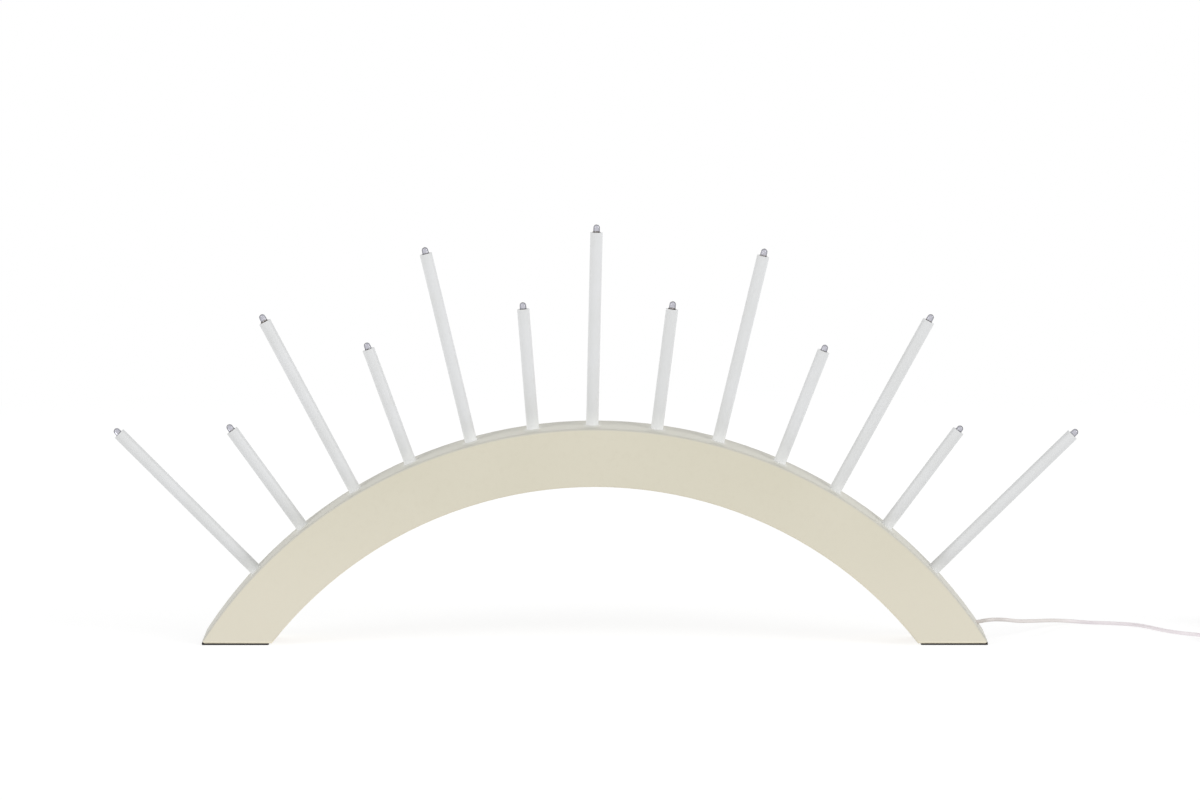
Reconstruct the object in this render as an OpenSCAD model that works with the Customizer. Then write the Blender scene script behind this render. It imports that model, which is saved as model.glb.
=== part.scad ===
// Electric candle arch: a lacquered band on two feet, with 13 tubes fanned out and a clear diode in each tip.
// X runs to the right, Y to the back and Z up. The pads stand on Z = 0, and Y = 0 is the band's middle.

/* [Arch] */
// Outer radius of the band
arch_r = 341; // [320:0.5:380]
// Radial thickness of the band
band_h = 42.5; // [38:0.5:50]
// Depth of the band, front to back
band_d = 54; // [46:1:64]
// Height of the crown above the undersides of the feet
arch_rise = 157.3; // [150:0.1:166]
// Radius of the band's arrises
arris_r = 1.2; // [0.4:0.1:2.5]
// Radius of each foot's outer corner
toe_r = 2; // [1:0.1:4]

/* [Foot pads] */
// Thickness of the rubber pads
pad_t = 1.2; // [0.8:0.1:3]
// How far a pad stops short of the foot's inner corner
pad_heel_gap = 2.3; // [1:0.1:6]
// How far a pad stops short of the foot's outer corner
pad_toe_gap = 1; // [0.5:0.1:4]
// How far a pad stops short of the foot's front and back
pad_side_gap = 1; // [0.5:0.1:4]
// Radius of a pad's corners
pad_corner_r = 1.5; // [0.5:0.1:3]

/* [Wiring channel] */
// Width of the channel under the band
channel_w = 14; // [10:0.5:16]
// Depth of the channel from the underside
channel_h = 12; // [9:0.5:14]
// Width of the strip that closes the channel
cover_w = 26; // [24:0.5:32]
// Thickness of the strip
cover_t = 1.6; // [1:0.1:2.5]
// How far the strip lies below the underside
cover_sink = 0.2; // [0.1:0.1:0.6]
// Clearance along the strip's edges
cover_gap = 0.3; // [0.1:0.1:0.6]

/* [Cover screws] */
// Number of screws along the strip
screw_count = 10; // [6:1:14]
// Distance along the underside from the outermost screws to the feet
screw_end = 36.6; // [20:0.1:50]
// Length of a screw
screw_l = 12; // [8:0.5:16]
// Radius of a screw's shank
screw_r = 1.2; // [0.9:0.1:1.4]
// Radius of a screw's head
screw_head_r = 2.2; // [1.8:0.1:2.4]
// Height of a screw's countersunk head
screw_head_h = 1.3; // [0.8:0.1:1.5]

/* [Candles] */
// Distance along the rim from the outermost candles to the feet's outer corners
candle_end = 64.5; // [58:0.1:80]
// Whole length of a long tube
tube_long = 160.5; // [120:0.5:200]
// Whole length of a short tube
tube_short = 107.5; // [80:0.5:150]
// Outer radius of a tube
tube_r = 4.5; // [4.2:0.05:5.5]
// Wall of a tube
tube_wall = 1.45; // [1.2:0.05:1.5]
// Depth of the bore that a tube stands in
seat_l = 20; // [12:0.5:26]
// Radial clearance of a tube in its bore
seat_gap = 0.05; // [0.02:0.01:0.15]
// Radius of the wire hole below the seat
wire_hole_r = 2.5; // [2.2:0.1:3]

/* [Diodes] */
// Radius of a diode's clear body
led_r = 2.5; // [2.3:0.05:2.7]
// How much the body narrows up to its dome
led_taper = 0.15; // [0:0.05:0.3]
// Whole height of the body and its flange
led_h = 6.2; // [5.5:0.1:8.6]
// Radius of the flange
led_flange_r = 2.95; // [2.8:0.05:3]
// Height of the flange
led_flange_h = 1; // [0.6:0.1:1.5]
// Length of the leads below the flange
lead_l = 8; // [5:0.5:10]
// Side of a lead's square section
lead_side = 0.5; // [0.4:0.05:0.7]
// Distance between the two leads
lead_pitch = 2.54; // [2:0.02:2.6]
// Height of the collar that a diode stands on
holder_l = 6; // [4:0.5:8]
// Radius of the collar's hole for the leads
holder_hole_r = 2; // [1.9:0.05:2.3]
// Radial clearance of a collar in its tube
holder_gap = 0.05; // [0.02:0.01:0.15]

/* [Wires] */
// Radius of the harness in the channel
loom_r = 1; // [0.8:0.1:1.4]
// Radius of one wire in a tube
wire_r = 0.55; // [0.4:0.05:0.6]
// Distance along the rim from the last candle to the joint with the lead
splice_run = 17.5; // [14:0.5:20]
// Length of the sleeve over the joint with the lead
splice_l = 14; // [10:0.5:18]
// Radius of that sleeve
splice_r = 2.1; // [1.7:0.1:2.8]

/* [Lead] */
// Diameter of the lead
cord_d = 2.8; // [2.6:0.1:2.9]
// Height of the lead's exit on the rim, above the table
exit_z = 13; // [12:0.1:15]
// Upward slope of the lead's hole
exit_rise = 10; // [4:1:12]
// Bend radius of the lead inside the channel
tail_bend_r = 8; // [6:0.5:9]
// Outer radius of the sleeve in the lead's hole
bush_r = 2.4; // [2:0.1:3]
// Depth of that sleeve
bush_l = 10; // [6:0.5:16]
// Radial clearance round the lead in its hole
cord_gap = 0.1; // [0.05:0.05:0.2]

/* [Coil] */
// Turns of the coil
coil_turns = 14.5; // [10.5:2:14.5]
// Clear distance between neighbouring turns
turn_gap = 0.5; // [0.45:0.05:0.6]
// Radius of the innermost turn
coil_in_r = 11; // [10:0.5:14]
// Thickness of the ties round the coil
tie_t = 1.2; // [0.8:0.1:1.5]
// Width of the ties
tie_w = 5; // [3:0.5:8]

/* [Power unit] */
// Width of the housing
unit_w = 38; // [30:1:50]
// Length of the housing
unit_l = 62; // [50:1:80]
// Height of the lower shell, lying on its back
unit_h = 20; // [18:0.5:26]
// Thickness of the face plate
plate_t = 5; // [3:0.5:6]
// Radius of the housing's upright corners
unit_corner_r = 6; // [4:0.5:10]
// Width of the bevel round the shell's underside
unit_bevel = 2.5; // [1:0.5:4]
// Width of the step that sets the plate back from the shell
plate_step = 0.6; // [0.3:0.1:1]
// Distance from the ends of the boss under the pins to the housing's sides
boss_gap = 1.5; // [1:0.1:4]
// Width of the boss
boss_w = 14; // [12:0.5:18]
// Height of the boss
boss_h = 3; // [2:0.5:5]
// Distance between the pins
pin_pitch = 19; // [17:0.1:19]
// Radius of a pin's bare end
pin_r = 2; // [1.8:0.05:2.4]
// Length of a pin above the boss
pin_l = 19; // [17:0.5:20]
// Radius of a pin's insulating sleeve
sleeve_r = 1.9; // [1.7:0.05:2]
// Length of that sleeve
sleeve_l = 10; // [8:0.5:12]
// Radius of the pin's stem inside the sleeve
stem_r = 1.2; // [0.8:0.1:1.4]
// Length of the tapered strain relief
relief_l = 24; // [20:1:40]
// Radius of the strain relief at the housing
relief_r = 3.6; // [3:0.1:5]
// Radius of the strain relief at its tip
relief_tip_r = 1.8; // [1.6:0.05:2]

/* [Hidden] */

// Lean of each candle to the right, in degrees from square to the rim: no two bores share an angle
CANDLE_LEANS = [1.96, 3.07, 3.07, 3.24, 2.02, 3.05, 1.58, -0.5, -1.87, -2.04, -2.33, -1.96, -1.11];
// How far each bore strays to the right of even spacing along the rim, as shares of the tubes' radius
BORE_STRAY_SHARES = [-0.08, 0.01, 0.21, 0.03, 0.21, 0.2, -0.42, -0.17, -0.28, 0.01, -0.17, -0.22, 0];
// How much longer than its kind each tube is cut, as shares of the tubes' radius
TUBE_CUT_SHARES = [0.13, -0.02, -0.12, 0.21, 0.14, 0.11, 0.06, 0.19, -0.24, 0.06, 0.27, 0.02, 0.24];
// Depth of each diode's base below its tube's end, as shares of the flange's height
LED_SINK_SHARES = [1.6, 1, 0.2, 1.15, 1.3, 1.15, 0.4, 0.35, 0.7, 1.4, 0.8, 2.05, 1.3];
last_candle = len(CANDLE_LEANS);
middle_candle = (last_candle + 1) / 2;

// Route of the free lead after its exit, on its middle line: over the table behind the arch, then to the coil
CORD_ROUTE = [
    [293, 2, 14.5], [300, 3, 14.2], [306, 7, 13], [312, 14, 11.5], [319, 24, 10], [325, 35, 8.5],
    [331, 46, 7], [338, 57, 5.5], [345, 66, 4], [352, 72, 2.8], [360, 75, 1.8], [368, 74, 1.4],
    [376, 72, 1.4], [384, 70, 1.4], [392, 67, 1.4], [400, 63, 1.4], [407, 56, 1.4], [413, 47, 1.4],
    [419, 37, 1.4], [425, 29, 1.4], [432, 22, 1.4], [439, 16, 1.5], [445, 9, 1.8], [449, 2, 2.3]
];
coil_at = [473, -8];
coil_start_angle = 180;

// Facets of the round shapes, of the lead's sections and of the coil's sections and turns
$fn = 64;
cord_sides = 8;
coil_sides = 6;
coil_rings = 24;
// Overrun of every cut
over = 1;

arch_in = arch_r - band_h;
arch_z = pad_t + arch_rise - arch_r;
foot_half = sqrt(pow(arch_r, 2) - pow(pad_t - arch_z, 2));
heel_half = sqrt(pow(arch_in, 2) - pow(pad_t - arch_z, 2));
foot_angle = acos((pad_t - arch_z) / arch_r);
heel_angle = acos((pad_t - arch_z) / arch_in);
candle_pitch = (foot_angle - arc_angle(candle_end, arch_r)) / (last_candle - middle_candle);
screw_pitch = 2 * (heel_angle - arc_angle(screw_end, arch_in)) / (screw_count - 1);
// The screws stand in the middle of the ledges beside the channel
screw_side = (channel_w + cover_w) / 4;
cover_seat = cover_sink + cover_t;
cover_out = arch_in + cover_seat;
tube_in = tube_r - tube_wall;
led_dome_r = led_r - led_taper;
loom_at = arch_in + (cover_seat + channel_h) / 2;
// The harness reaches this far past the outermost candle
loom_over = 6.4;

cord_r = cord_d / 2;
exit_x = sqrt(pow(arch_r, 2) - pow(exit_z - arch_z, 2));
exit_way = [cos(exit_rise), sin(exit_rise)];
// The lead's inner stretch stands this far out of the rim, and runs this far on after its bend
tail_out = 2;
tail_stub = 1.4;
// Station of the straight joint between the harness and the lead
splice_station = station(last_candle) + arc_angle(splice_run, arch_r);
splice_way = [cos(splice_station), -sin(splice_station)];
splice_foot = [loom_at * sin(splice_station), arch_z + loom_at * cos(splice_station)];
tail_turn = splice_station + exit_rise;
tail_step_count = 6;
tail_cut = tail_bend_r * tan(tail_turn / 2);
to_splice = [exit_x, exit_z] - splice_foot;
tail_reach = cross_of(to_splice, splice_way) / cross_of(exit_way, splice_way);
splice_start = cross_of(to_splice, exit_way) / cross_of(splice_way, exit_way) - tail_cut - tail_stub;
splice_point = splice_foot + splice_start * splice_way;
loom_end = splice_station + atan((splice_start - splice_l - cord_gap) / loom_at);

turn_pitch = cord_d + turn_gap;
layer_count = 4;
layer_turns = coil_turns / layer_count;
coil_out_r = coil_in_r + turn_pitch * layer_turns;
coil_mean_r = (coil_in_r + coil_out_r) / 2;
coil_base = tie_t + cord_r;
coil_top = coil_base + turn_pitch * (layer_count - 1);
coil_lead_in = cord_d;
coil_lead_out = 6;
// Clearance between the ties and the coil
tie_gap = 0.1;
tie_corner_r = 2;

relief_at = [coil_at[0] + coil_out_r, coil_at[1] + coil_lead_out, coil_top];
unit_at = [relief_at[0], relief_at[1] + relief_l];
boss_l = unit_w - 2 * boss_gap;
boss_at = unit_at[1] + unit_l - boss_w;
// Depth of a pin's stem below the boss
stem_sink = 2;

function cross_of(a, b) = a[0] * b[1] - a[1] * b[0];
function arc_angle(run, r) = 360 * run / (2 * PI * r);
function stray(i) = arc_angle(BORE_STRAY_SHARES[i - 1] * tube_r, arch_r);
function station(i) = (i - middle_candle) * candle_pitch + stray(i);
function tilt(i) = station(i) + CANDLE_LEANS[i - 1];
function tube_l(i) = (i % 2 == 1 ? tube_long : tube_short) + TUBE_CUT_SHARES[i - 1] * tube_r;
function tube_top(i) = tube_l(i) - seat_l;
// Height of a diode's base above the rim, along its candle
function led_base(i) = tube_top(i) - LED_SINK_SHARES[i - 1] * led_flange_h;
// Distance down a candle's axis from the rim to the circle of radius r in the channel
function drop_to(i, r) =
    let (lean = station(i) - tilt(i)) arch_r * cos(lean) - sqrt(pow(r, 2) - pow(arch_r * sin(lean), 2));

function unit(v) = v / norm(v);
function level_normal(way) = unit([-way[1], way[0], 0]);
function ring(centre, way, r, sides) =
    let (side = level_normal(way), lift = cross(unit(way), side))
    [for (k = [0:sides - 1]) let (a = 360 * (k + 0.5) / sides) centre + r * (cos(a) * side + sin(a) * lift)];
// Triangles of a closed tube of the given rings, and its two ends
function tube_faces(rings, sides) = concat(
    [for (j = [0:rings - 2]) for (k = [0:sides - 1])
        let (a = j * sides + k, b = j * sides + (k + 1) % sides)
        each [[a, a + sides, b], [b, a + sides, b + sides]]],
    [for (k = [1:sides - 2]) [0, k, k + 1]],
    [for (k = [1:sides - 2]) let (a = (rings - 1) * sides) [a, a + k + 1, a + k]]);

// The coil's middle line: in and out again in four layers, with a climb in the half turn round each reversal
function coil_radius(t) =
    let (k = floor(t / layer_turns), f = t - k * layer_turns)
    coil_out_r - turn_pitch * (k % 2 == 0 ? f : layer_turns - f);
function climb(t, k) = min(max(2 * (t - k * layer_turns) + 0.5, 0), 1);
function coil_height(t) = coil_base + turn_pitch * (climb(t, 1) + climb(t, 2) + climb(t, 3));
function coil_point(t) =
    let (a = coil_start_angle + 360 * t, r = coil_radius(t))
    [coil_at[0] + r * cos(a), coil_at[1] + r * sin(a), coil_height(t)];
coil_steps = coil_turns * coil_rings;
COIL_LINE = [for (j = [0:coil_steps]) coil_point(min(j / coil_rings, coil_turns - 0.0001))];
coil_start = [coil_at[0] - coil_out_r, coil_at[1] + coil_lead_in, coil_base];
COIL_PATH = concat([coil_start], COIL_LINE, [relief_at]);

// Least gap of the coil to itself, between points at least half a turn apart
COIL_GAPS = [
    for (j = [0:coil_steps - coil_rings / 2])
        min([
            for (k = [j + coil_rings / 2:coil_steps])
                norm(COIL_LINE[j] - COIL_LINE[k])
        ])
];
function path_length(path) = norm_sum([for (j = [1:len(path) - 1]) norm(path[j] - path[j - 1])]);
function norm_sum(list) = list * [for (v = list) 1];

exit_point = [exit_x + tail_out * exit_way[0], 0, exit_z + tail_out * exit_way[1]];
exit_dir = [exit_way[0], 0, exit_way[1]];
CORD_PATH = concat([exit_point, exit_point + 2 * cord_d * exit_dir], CORD_ROUTE, [coil_start]);
// The lead's inner stretch: down its hole, round one bend and up to the sleeve
tail_side = [-exit_way[1], exit_way[0]];
tail_centre = [exit_x, exit_z] + (tail_cut - tail_reach) * exit_way + tail_bend_r * tail_side;
TAIL_BEND = [
    for (j = [0:tail_step_count])
        let (a = exit_rise - 90 - tail_turn * j / tail_step_count) tail_centre + tail_bend_r * [cos(a), sin(a)]
];
TAIL_PATH = concat([exit_point], [for (p = concat(TAIL_BEND, [splice_point])) [p[0], 0, p[1]]]);
echo(coil_least_gap = min(COIL_GAPS) - cord_d);
echo(cord_length = path_length(CORD_PATH) + path_length(COIL_PATH));

// Turns a shape drawn about the Z axis into one about the arch's centre line
module about_arch() {
    translate([0, 0, arch_z]) rotate([90, 0, 0]) children();
}

// Frame of a candle: origin on the rim, Z up its axis
module at_candle(i) {
    translate([arch_r * sin(station(i)), 0, arch_z + arch_r * cos(station(i))])
        rotate([0, tilt(i), 0]) children();
}

// Frame of a cover screw: origin on the strip's inner face, Z into the wood
module at_screw(k) {
    a = (k - (screw_count - 1) / 2) * screw_pitch;
    r = arch_in + cover_sink;
    side = k % 2 == 0 ? screw_side : -screw_side;
    translate([r * sin(a), side, arch_z + r * cos(a)]) rotate([0, a, 0]) children();
}

// Frame of the lead's hole: origin on the rim, Z out of it
module at_exit() {
    translate([exit_x, 0, exit_z]) rotate([0, 90 - exit_rise, 0]) children();
}

// Flat profile with round corners
module round_rect(size, r) {
    square([size[0] - 2 * r, size[1]], center = true);
    square([size[0], size[1] - 2 * r], center = true);
    for (x = [-1, 1], y = [-1, 1]) {
        translate([x * (size[0] / 2 - r), y * (size[1] / 2 - r)]) circle(r);
    }
}

// Everything above a height that the feet stand on
module above(z) {
    translate([-arch_r, -band_d, z]) cube([2 * arch_r, 2 * band_d, arch_r]);
}

// Cutter that rounds the feet's lower front and back edges
module foot_edge(side) {
    translate([0, side * (band_d / 2 - arris_r), pad_t + arris_r])
        rotate([90, 0, 90])
            linear_extrude(2 * arch_r, center = true)
                difference() {
                    translate([side > 0 ? 0 : -arris_r - over, -arris_r - over]) square(arris_r + over);
                    circle(arris_r);
                }
}

// Cutter that rounds a foot's outer corner
module toe_edge(side) {
    toe_x = sqrt(pow(arch_r - toe_r, 2) - pow(pad_t + toe_r - arch_z, 2));
    out = unit([toe_x, pad_t + toe_r - arch_z]);
    mirror([side > 0 ? 0 : 1, 0, 0])
        translate([toe_x, 0, pad_t + toe_r])
            rotate([90, 0, 0])
                linear_extrude(band_d + 2 * over, center = true)
                    difference() {
                        polygon([[0, 0], [0, -toe_r - over], [foot_half - toe_x + 2 * over, -toe_r - over],
                            (toe_r + over) * out]);
                        circle(toe_r);
                    }
}

module arch_body() {
    color("#dad4c3")
        difference() {
            intersection() {
                about_arch()
                    rotate_extrude($fn = 256)
                        translate([arch_in + band_h / 2, 0]) round_rect([band_h, band_d], arris_r);
                above(pad_t);
            }
            for (side = [-1, 1]) {
                foot_edge(side);
                toe_edge(side);
            }
            about_arch() rotate_extrude($fn = 256) channel_profile();
            for (i = [1:last_candle]) {
                at_candle(i)
                    translate([0, 0, -seat_l])
                        cylinder(r = tube_r + seat_gap, h = seat_l + 4 * over);
                at_candle(i)
                    translate([0, 0, -drop_to(i, loom_at)])
                        cylinder(r = wire_hole_r, h = drop_to(i, loom_at) - seat_l + over);
            }
            for (k = [0:screw_count - 1]) {
                at_screw(k) cylinder(r = screw_r, h = screw_l);
            }
            at_exit() translate([0, 0, -bush_l]) cylinder(r = bush_r, h = bush_l + 4 * over);
            at_exit() translate([0, 0, -tail_reach]) cylinder(r = cord_r + cord_gap, h = tail_reach);
        }
}

// Section of the channel and of the strip's rebate, both open to the underside
module channel_profile() {
    translate([arch_in - over, -channel_w / 2]) square([over + channel_h, channel_w]);
    translate([arch_in - over, -cover_w / 2 - cover_gap])
        square([over + cover_seat, cover_w + 2 * cover_gap]);
}

module channel_cover() {
    color("#b9ab8e")
        difference() {
            intersection() {
                about_arch()
                    rotate_extrude($fn = 256)
                        translate([arch_in + cover_sink, -cover_w / 2]) square([cover_t, cover_w]);
                above(pad_t + cover_gap);
            }
            for (k = [0:screw_count - 1]) {
                at_screw(k) screw_form(cover_gap, over);
            }
        }
}

// Countersunk head on a shank, wider by the clearance and with an overrun at the head
module screw_form(gap, run) {
    translate([0, 0, -run]) cylinder(r = screw_head_r + gap, h = run);
    cylinder(r1 = screw_head_r + gap, r2 = screw_r + gap, h = screw_head_h);
    cylinder(r = screw_r + gap, h = cover_t + over);
}

module cover_screws() {
    slot_w = screw_head_r / 4;
    slot_l = 1.3 * screw_head_r;
    tip_h = 2 * screw_r;
    color("#a8a69e")
        for (k = [0:screw_count - 1]) {
            at_screw(k)
                difference() {
                    union() {
                        cylinder(r1 = screw_head_r, r2 = screw_r, h = screw_head_h);
                        cylinder(r = screw_r, h = screw_l - tip_h);
                        translate([0, 0, screw_l - tip_h])
                            cylinder(r1 = screw_r, r2 = screw_r / 8, h = tip_h);
                    }
                    for (turn = [0, 90]) {
                        rotate([0, 0, turn])
                            cube([slot_l, slot_w, screw_head_h], center = true);
                    }
                }
        }
}

module foot_pad(side) {
    from = heel_half + pad_heel_gap;
    to = foot_half - pad_toe_gap;
    color("#28221f")
        translate([side * (from + to) / 2, 0, 0])
            linear_extrude(pad_t) round_rect([to - from, band_d - 2 * pad_side_gap], pad_corner_r);
}

module candle_tube(i) {
    color("#eceeee")
        at_candle(i)
            translate([0, 0, -seat_l])
                difference() {
                    cylinder(r = tube_r, h = tube_l(i));
                    translate([0, 0, -over]) cylinder(r = tube_in, h = tube_l(i) + 2 * over);
                }
}

module led_holder(i) {
    color("#6e5138")
        at_candle(i)
            translate([0, 0, led_base(i) - holder_l])
                difference() {
                    cylinder(r = tube_in - holder_gap, h = holder_l);
                    translate([0, 0, -over]) cylinder(r = holder_hole_r, h = holder_l + 2 * over);
                }
}

module led(i) {
    flat = led_flange_r - led_r;
    color("#c9cdd6")
        at_candle(i)
            translate([0, 0, led_base(i)])
                difference() {
                    union() {
                        cylinder(r = led_flange_r, h = led_flange_h);
                        translate([0, 0, led_flange_h])
                            cylinder(r1 = led_r, r2 = led_dome_r, h = led_h - led_dome_r - led_flange_h);
                        translate([0, 0, led_h - led_dome_r]) sphere(led_dome_r);
                        for (side = [-1, 1]) {
                            translate([side * lead_pitch / 2 - lead_side / 2, -lead_side / 2, -lead_l])
                                cube([lead_side, lead_side, lead_l + led_flange_h / 2]);
                        }
                    }
                    translate([led_flange_r - flat, -led_r, -over])
                        cube([led_r, 2 * led_r, over + led_flange_h]);
                }
}

module wire_loom() {
    from = -station(last_candle) - arc_angle(loom_over, loom_at);
    color("#d8cfc4") {
        about_arch()
            rotate([0, 0, 90 - loom_end])
                rotate_extrude(angle = loom_end - from, $fn = 256) translate([loom_at, 0]) circle(loom_r);
        for (i = [1:last_candle], side = [-1, 1]) {
            at_candle(i)
                translate([side * lead_pitch / 2, 0, -drop_to(i, loom_at)])
                    cylinder(r = wire_r, h = drop_to(i, loom_at) + led_base(i) - lead_l);
        }
    }
}

module splice_sleeve() {
    color("#2b2b2d")
        translate([splice_point[0], 0, splice_point[1]])
            rotate([0, splice_station - 90, 0]) cylinder(r = splice_r, h = splice_l);
}

module cord_tail() {
    last = len(TAIL_PATH) - 1;
    ways = [
        for (j = [0:last])
            j == 0 ? -exit_dir
                : j == last ? [-splice_way[0], 0, -splice_way[1]] : TAIL_PATH[j + 1] - TAIL_PATH[j - 1]
    ];
    color("#ded7da")
        polyhedron([for (j = [0:last]) each ring(TAIL_PATH[j], ways[j], cord_r, cord_sides)],
            tube_faces(last + 1, cord_sides));
}

module cord_bush() {
    color("#d3ccba")
        intersection() {
            at_exit()
                translate([0, 0, -bush_l])
                    difference() {
                        cylinder(r = bush_r, h = bush_l + 4 * over);
                        translate([0, 0, -over]) cylinder(r = cord_r + cord_gap, h = bush_l + 6 * over);
                    }
            about_arch() cylinder(r = arch_r, h = band_d, center = true, $fn = 256);
        }
}

module power_cord() {
    last = len(CORD_PATH) - 1;
    ways = [
        for (j = [0:last])
            j == 0 ? exit_dir : j == last ? [0, -1, 0] : CORD_PATH[j + 1] - CORD_PATH[j - 1]
    ];
    color("#ded7da")
        polyhedron([for (j = [0:last]) each ring(CORD_PATH[j], ways[j], cord_r, cord_sides)],
            tube_faces(last + 1, cord_sides));
}

module cord_coil() {
    last = len(COIL_PATH) - 1;
    ways = [
        for (j = [0:last])
            j <= 1 ? [0, -1, 0] : j >= last - 1 ? [0, 1, 0] : COIL_PATH[j + 1] - COIL_PATH[j - 1]
    ];
    color("#ded7da")
        polyhedron([for (j = [0:last]) each ring(COIL_PATH[j], ways[j], cord_r, coil_sides)],
            tube_faces(last + 1, coil_sides));
}

module cord_ties() {
    inside = [coil_out_r - coil_in_r + cord_d + 2 * tie_gap, coil_top - coil_base + cord_d + 2 * tie_gap];
    color("#e9e6e2")
        for (side = [-1, 1]) {
            translate([coil_at[0], coil_at[1] + side * coil_mean_r, (coil_top + coil_base) / 2])
                rotate([90, 0, 90])
                    linear_extrude(tie_w, center = true)
                        difference() {
                            round_rect(inside + [2, 2] * (tie_t - tie_gap), tie_corner_r);
                            round_rect(inside, tie_corner_r / 2);
                        }
        }
}

module cord_relief() {
    color("#e6e4e0")
        translate(relief_at)
            rotate([-90, 0, 0]) cylinder(r1 = relief_tip_r, r2 = relief_r, h = relief_l);
}

// Plan of the housing, from its lower edge on the cord's side
module unit_plan(inset) {
    translate([unit_at[0], unit_at[1] + unit_l / 2])
        round_rect([unit_w - 2 * inset, unit_l - 2 * inset], unit_corner_r - inset);
}

module adapter_case() {
    color("#eceae6") {
        translate([0, 0, unit_bevel]) linear_extrude(unit_h - unit_bevel) unit_plan(0);
        hull() {
            linear_extrude(unit_bevel, $fn = 32) unit_plan(unit_bevel);
            translate([0, 0, unit_bevel]) linear_extrude(unit_bevel, $fn = 32) unit_plan(0);
        }
    }
}

module adapter_plate() {
    color("#f0eeea")
        difference() {
            union() {
                translate([0, 0, unit_h]) linear_extrude(plate_t) unit_plan(plate_step);
                translate([unit_at[0], boss_at, unit_h + plate_t])
                    linear_extrude(boss_h) round_rect([boss_l, boss_w], boss_w / 2 - plate_step);
                at_pins() cylinder(r = sleeve_r, h = sleeve_l);
            }
            at_pins() translate([0, 0, -stem_sink]) cylinder(r = stem_r, h = stem_sink + sleeve_l + over);
        }
}

// The two pins' places on the boss
module at_pins() {
    for (side = [-1, 1]) {
        translate([unit_at[0] + side * pin_pitch / 2, boss_at, unit_h + plate_t + boss_h]) children();
    }
}

module adapter_pins() {
    color("#c8c8c4")
        at_pins() {
            translate([0, 0, -stem_sink]) cylinder(r = stem_r, h = stem_sink + sleeve_l);
            translate([0, 0, sleeve_l]) cylinder(r = pin_r, h = pin_l - sleeve_l - pin_r);
            translate([0, 0, pin_l - pin_r]) sphere(pin_r);
        }
}

arch_body();
channel_cover();
cover_screws();
foot_pad(-1);  // foot_pad_left
foot_pad(1);  // foot_pad_right
candle_tube(1);  // candle_tube_01
candle_tube(2);  // candle_tube_02
candle_tube(3);  // candle_tube_03
candle_tube(4);  // candle_tube_04
candle_tube(5);  // candle_tube_05
candle_tube(6);  // candle_tube_06
candle_tube(7);  // candle_tube_07
candle_tube(8);  // candle_tube_08
candle_tube(9);  // candle_tube_09
candle_tube(10);  // candle_tube_10
candle_tube(11);  // candle_tube_11
candle_tube(12);  // candle_tube_12
candle_tube(13);  // candle_tube_13
led_holder(1);  // led_holder_01
led_holder(2);  // led_holder_02
led_holder(3);  // led_holder_03
led_holder(4);  // led_holder_04
led_holder(5);  // led_holder_05
led_holder(6);  // led_holder_06
led_holder(7);  // led_holder_07
led_holder(8);  // led_holder_08
led_holder(9);  // led_holder_09
led_holder(10);  // led_holder_10
led_holder(11);  // led_holder_11
led_holder(12);  // led_holder_12
led_holder(13);  // led_holder_13
led(1);  // led_01
led(2);  // led_02
led(3);  // led_03
led(4);  // led_04
led(5);  // led_05
led(6);  // led_06
led(7);  // led_07
led(8);  // led_08
led(9);  // led_09
led(10);  // led_10
led(11);  // led_11
led(12);  // led_12
led(13);  // led_13
wire_loom();
splice_sleeve();
cord_bush();
cord_tail();
power_cord();
cord_coil();
cord_ties();
cord_relief();
adapter_case();
adapter_plate();
adapter_pins();
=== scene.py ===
import math

import bmesh
import bpy
from mathutils import Matrix, Vector
from mathutils.kdtree import KDTree


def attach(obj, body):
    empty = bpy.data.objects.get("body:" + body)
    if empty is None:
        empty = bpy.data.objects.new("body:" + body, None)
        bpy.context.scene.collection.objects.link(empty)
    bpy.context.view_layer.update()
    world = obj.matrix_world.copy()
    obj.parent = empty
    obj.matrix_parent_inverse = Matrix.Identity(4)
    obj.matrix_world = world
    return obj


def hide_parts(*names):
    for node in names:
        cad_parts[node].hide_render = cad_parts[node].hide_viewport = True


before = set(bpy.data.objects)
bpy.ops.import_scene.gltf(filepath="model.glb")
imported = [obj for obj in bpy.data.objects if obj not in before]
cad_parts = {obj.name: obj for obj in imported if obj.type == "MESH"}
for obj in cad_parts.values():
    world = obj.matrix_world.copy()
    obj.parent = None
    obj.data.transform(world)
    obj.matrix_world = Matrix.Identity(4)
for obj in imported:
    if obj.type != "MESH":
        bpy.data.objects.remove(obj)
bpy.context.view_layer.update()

MM = 0.001
# Faces that meet at a larger angle than this show an edge between them
SHARP_ANGLE = math.radians(40)

# Camera, level with the photograph's view of the arch
PHOTO_WIDTH_PX = 1200
FOCAL_PX = 6198.6
SENSOR_MM = 36
CAMERA_AT = Vector((0, -4.4897, 0.6942))
CAMERA_AIM = Vector((0.00375, 0, 0.1766))

camera_data = bpy.data.cameras.new("camera")
camera_data.sensor_width = SENSOR_MM
camera_data.lens = SENSOR_MM * FOCAL_PX / PHOTO_WIDTH_PX
camera_data.clip_start, camera_data.clip_end = 0.05, 100
camera = bpy.data.objects.new("camera", camera_data)
camera.location = CAMERA_AT
camera.rotation_euler = (CAMERA_AIM - CAMERA_AT).to_track_quat("-Z", "Y").to_euler()
bpy.context.scene.collection.objects.link(camera)
bpy.context.scene.camera = camera


# Mesh building
def shade_smooth(mesh):
    """Smooth shading, but for the edges where faces meet at a sharp angle."""
    mesh.polygons.foreach_set("use_smooth", [True] * len(mesh.polygons))
    mesh.set_sharp_from_angle(angle=SHARP_ANGLE)


def piece_from(name, mesh):
    """A piece of this mesh, on the part's one body."""
    piece = bpy.data.objects.new(name, mesh)
    bpy.context.scene.collection.objects.link(piece)
    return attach(piece, "root")


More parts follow.
